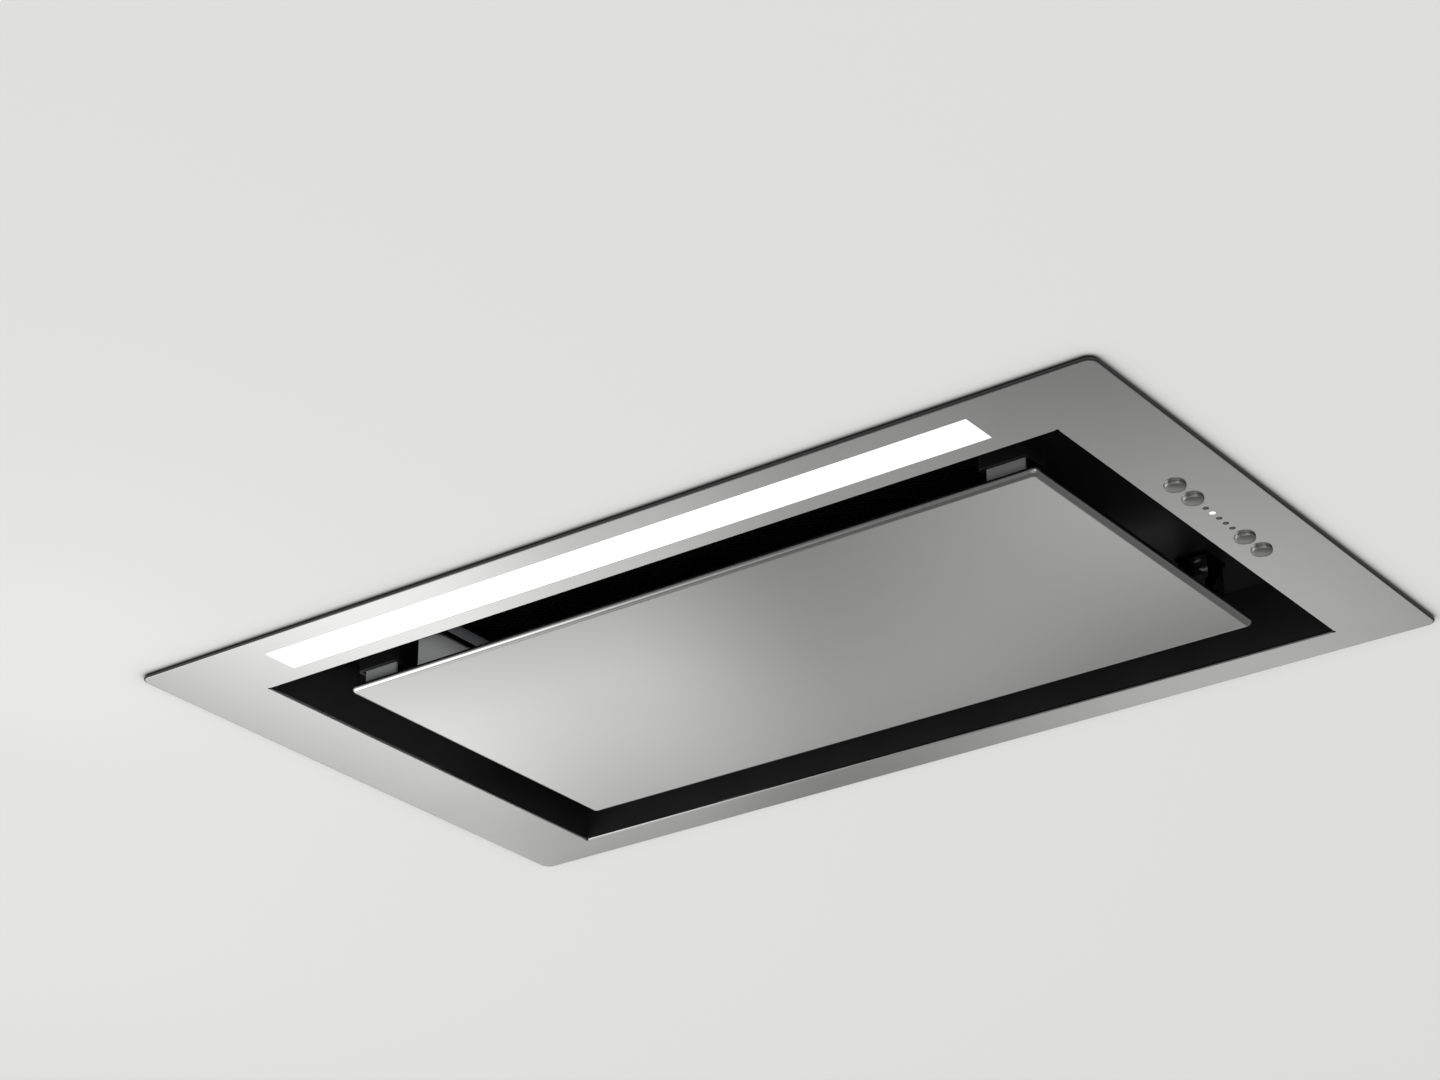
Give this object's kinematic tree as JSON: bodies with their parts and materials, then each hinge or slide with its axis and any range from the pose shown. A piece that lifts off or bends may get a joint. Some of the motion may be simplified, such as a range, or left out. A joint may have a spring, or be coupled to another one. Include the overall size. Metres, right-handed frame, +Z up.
{
  "type": "built-in range hood",
  "caption": "Built-in range hood: flat steel frame with light bar and push buttons, hinged suction panel, grease filter, blower in a sheet case and a round duct collar with flaps.",
  "frame": {"origin": "middle of the frame's outline in the plane of the cabinet's underside, where the foam strip on the frame's edge meets it", "axes": "+X to the right as seen from the front, +Y to the rear, +Z up into the cabinet"},
  "size_m": [0.524, 0.308, 0.2839],
  "materials": {
    "stainless": "fine brushed",
    "opal_diffuser": "opal, lit from behind",
    "black_paint": "semi-gloss black",
    "galvanised_sheet": "zinc coated",
    "bright_zinc": "bright zinc plate",
    "ground_steel": "ground",
    "spring_steel": "blued",
    "aluminium": "mill finish",
    "button_metal": "turned and domed",
    "clear_lens": "smoked clear",
    "black_plastic": "fine grain",
    "dark_magnet": "sintered",
    "white_plastic": "plain",
    "circuit_board": "solder mask",
    "board_parts": "moulded cases",
    "motor_enamel": "grey enamel",
    "foam": "closed-cell foam",
    "soft_rubber": "moulded",
    "grey_sheath": "extruded sheath"
  },
  "bodies": {
    "hood": {"frame_plate": "stainless", "light_diffuser": "opal_diffuser", "skirt_front": "black_paint", "skirt_rear": "black_paint", "skirt_left": "black_paint", "skirt_right": "black_paint", "filter_deck": "galvanised_sheet", "case_front": "galvanised_sheet", "case_rear": "galvanised_sheet", "case_left": "galvanised_sheet", "case_right": "galvanised_sheet", "case_top": "galvanised_sheet", "scroll_wrap": "galvanised_sheet", "scroll_cheek_left": "galvanised_sheet", "scroll_cheek_right": "galvanised_sheet", "motor_bracket": "galvanised_sheet", "hinge_brackets": "bright_zinc", "deck_rivets": "bright_zinc", "case_screws": "bright_zinc", "blower_screws": "bright_zinc", "hinge_pins": "ground_steel", "motor_bearings": "ground_steel", "damper_pin": "ground_steel", "cabinet_clips": "spring_steel", "light_channel": "aluminium", "filter_frame": "aluminium", "filter_mesh": "aluminium", "indicator_lenses": "clear_lens", "catch_housings": "black_plastic", "button_carrier": "black_plastic", "outlet_collar": "black_plastic", "electronics_box": "black_plastic", "electronics_lid": "black_plastic", "cable_gland": "black_plastic", "tact_switches": "black_plastic", "catch_magnets": "dark_magnet", "terminal_block": "white_plastic", "light_leds": "white_plastic", "light_board": "circuit_board", "control_board": "circuit_board", "power_board": "circuit_board", "board_components": "board_parts", "motor_body": "motor_enamel", "frame_gasket": "foam", "motor_grommets": "soft_rubber", "motor_lead": "grey_sheath", "control_leads": "grey_sheath"},
    "suction_panel": {"panel_skin": "stainless", "panel_back": "galvanised_sheet", "panel_strikes": "bright_zinc", "panel_hinge_arms": "bright_zinc"},
    "latch": {"filter_latch": "black_plastic"},
    "power_key": {"power_button": "button_metal"},
    "slower_key": {"slower_button": "button_metal"},
    "faster_key": {"faster_button": "button_metal"},
    "light_key": {"light_button": "button_metal"},
    "fan": {"impeller": "white_plastic", "motor_shaft": "ground_steel"},
    "front_flap": {"damper_flap_front": "black_plastic"},
    "rear_flap": {"damper_flap_rear": "black_plastic"}
  },
  "joints": [
    {"name": "panel_swing", "type": "hinge", "parent": "hood", "child": "suction_panel", "pos_m": [0, 0.097, 0.018], "axis": [1, 0, 0], "range_deg": [0, 90]},
    {"name": "latch_slide", "type": "slide", "parent": "hood", "child": "latch", "axis": [0, 1, 0], "range_m": [0, 0.006], "stiffness_N_per_m": 400},
    {"name": "power_press", "type": "slide", "parent": "hood", "child": "power_key", "axis": [0, 0, 1], "range_m": [0, 0.001], "stiffness_N_per_m": 1500},
    {"name": "slower_press", "type": "slide", "parent": "hood", "child": "slower_key", "axis": [0, 0, 1], "range_m": [0, 0.001], "stiffness_N_per_m": 1500},
    {"name": "faster_press", "type": "slide", "parent": "hood", "child": "faster_key", "axis": [0, 0, 1], "range_m": [0, 0.001], "stiffness_N_per_m": 1500},
    {"name": "light_press", "type": "slide", "parent": "hood", "child": "light_key", "axis": [0, 0, 1], "range_m": [0, 0.001], "stiffness_N_per_m": 1500},
    {"name": "fan_spin", "type": "hinge", "parent": "hood", "child": "fan", "pos_m": [0, -0.04227, 0.14602], "axis": [1, 0, 0], "continuous": true},
    {"name": "front_flap_swing", "type": "hinge", "parent": "hood", "child": "front_flap", "pos_m": [0, 0, 0.23101], "axis": [-1, 0, 0], "range_deg": [0, 78]},
    {"name": "rear_flap_swing", "type": "hinge", "parent": "hood", "child": "rear_flap", "pos_m": [0, 0, 0.23101], "axis": [1, 0, 0], "range_deg": [0, 78]}
  ]
}
